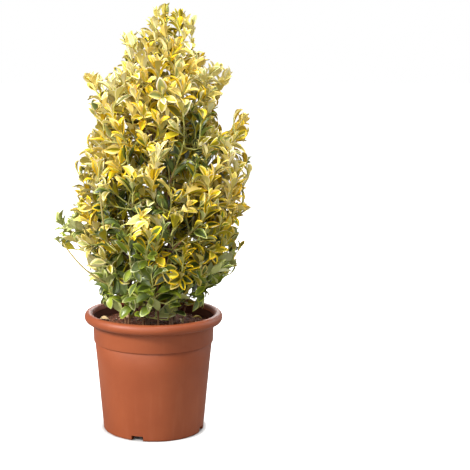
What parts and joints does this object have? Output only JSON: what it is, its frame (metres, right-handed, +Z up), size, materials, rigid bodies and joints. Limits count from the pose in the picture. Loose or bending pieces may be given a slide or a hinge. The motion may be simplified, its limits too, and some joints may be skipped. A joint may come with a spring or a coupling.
{
  "type": "potted shrub",
  "caption": "Upright bushy evergreen shrub with gold-edged variegated leaves, growing on several stems in a round terracotta-coloured plastic pot filled with soil.",
  "frame": {"origin": "centre of the flat underside of the pot, on the surface that it stands on", "axes": "+Z up along the pot's axis, +X to the right and -Y towards the viewer in the picture's view"},
  "size_m": [0.4455, 0.4222, 0.9182],
  "materials": {
    "pot": "terracotta-coloured moulded plastic, satin, with fine scuffs",
    "soil": "damp dark potting compost with bark chips, matt",
    "bark": "brown young bark with shallow furrows, matt",
    "foliage": "leathery leaves, yellow and cream at the edge and green in the middle, satin"
  },
  "bodies": {
    "root": {"bough_lower_1": "bark", "bough_lower_2": "bark", "bough_lower_3": "bark", "bough_lower_4": "bark", "bough_lower_5": "bark", "bough_lower_6": "bark", "bough_middle_1": "bark", "bough_middle_2": "bark", "bough_middle_3": "bark", "bough_middle_4": "bark", "bough_middle_5": "bark", "bough_middle_6": "bark", "bough_skirt_1": "bark", "bough_skirt_2": "bark", "bough_skirt_3": "bark", "bough_skirt_4": "bark", "bough_skirt_5": "bark", "bough_upper_2": "bark", "bough_upper_4": "bark", "foliage_lower_1": "foliage", "foliage_lower_2": "foliage", "foliage_lower_3": "foliage", "foliage_lower_4": "foliage", "foliage_lower_5": "foliage", "foliage_lower_6": "foliage", "foliage_middle_1": "foliage", "foliage_middle_2": "foliage", "foliage_middle_3": "foliage", "foliage_middle_4": "foliage", "foliage_middle_5": "foliage", "foliage_middle_6": "foliage", "foliage_skirt_1": "foliage", "foliage_skirt_2": "foliage", "foliage_skirt_3": "foliage", "foliage_skirt_4": "foliage", "foliage_skirt_5": "foliage", "foliage_top_1": "foliage", "foliage_top_2": "foliage", "foliage_top_3": "foliage", "foliage_upper_1": "foliage", "foliage_upper_2": "foliage", "foliage_upper_3": "foliage", "foliage_upper_4": "foliage", "pot": "pot", "soil": "soil", "stem_1": "bark", "stem_2": "bark", "stem_3": "bark", "stem_4": "bark", "stem_5": "bark"}
  },
  "joints": []
}
